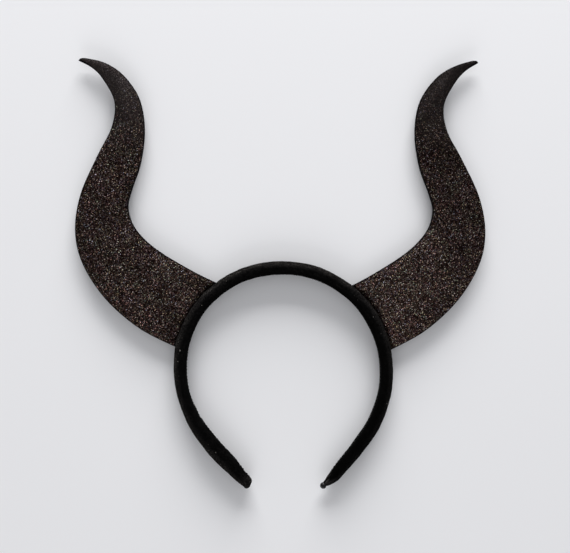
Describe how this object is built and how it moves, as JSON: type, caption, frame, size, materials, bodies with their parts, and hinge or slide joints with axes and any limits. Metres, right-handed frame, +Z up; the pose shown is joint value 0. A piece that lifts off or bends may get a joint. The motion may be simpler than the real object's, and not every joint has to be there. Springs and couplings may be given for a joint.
{
  "type": "devil horns headband",
  "caption": "Padded velvet hoop headband, open at the bottom, with flat S-curved glitter horns standing out from its crown.",
  "frame": {"origin": "under the middle of the whole outline, on the surface that the band lies on", "axes": "+Z up out of that surface; +Y from the band's open ends towards the horn tips; +X towards the right horn, seen from the front"},
  "size_m": [0.2622, 0.2766, 0.0115],
  "materials": {
    "velvet": "short-pile black velvet over soft padding",
    "core_plastic": "satin black moulded plastic",
    "glitter_sheet": "black felt sheet coated with fine dark glitter"
  },
  "bodies": {
    "root": {"velvet_cover": "velvet", "hoop_core": "core_plastic", "horn_left_front": "glitter_sheet", "horn_left_back": "glitter_sheet", "horn_right_front": "glitter_sheet", "horn_right_back": "glitter_sheet"}
  },
  "joints": []
}
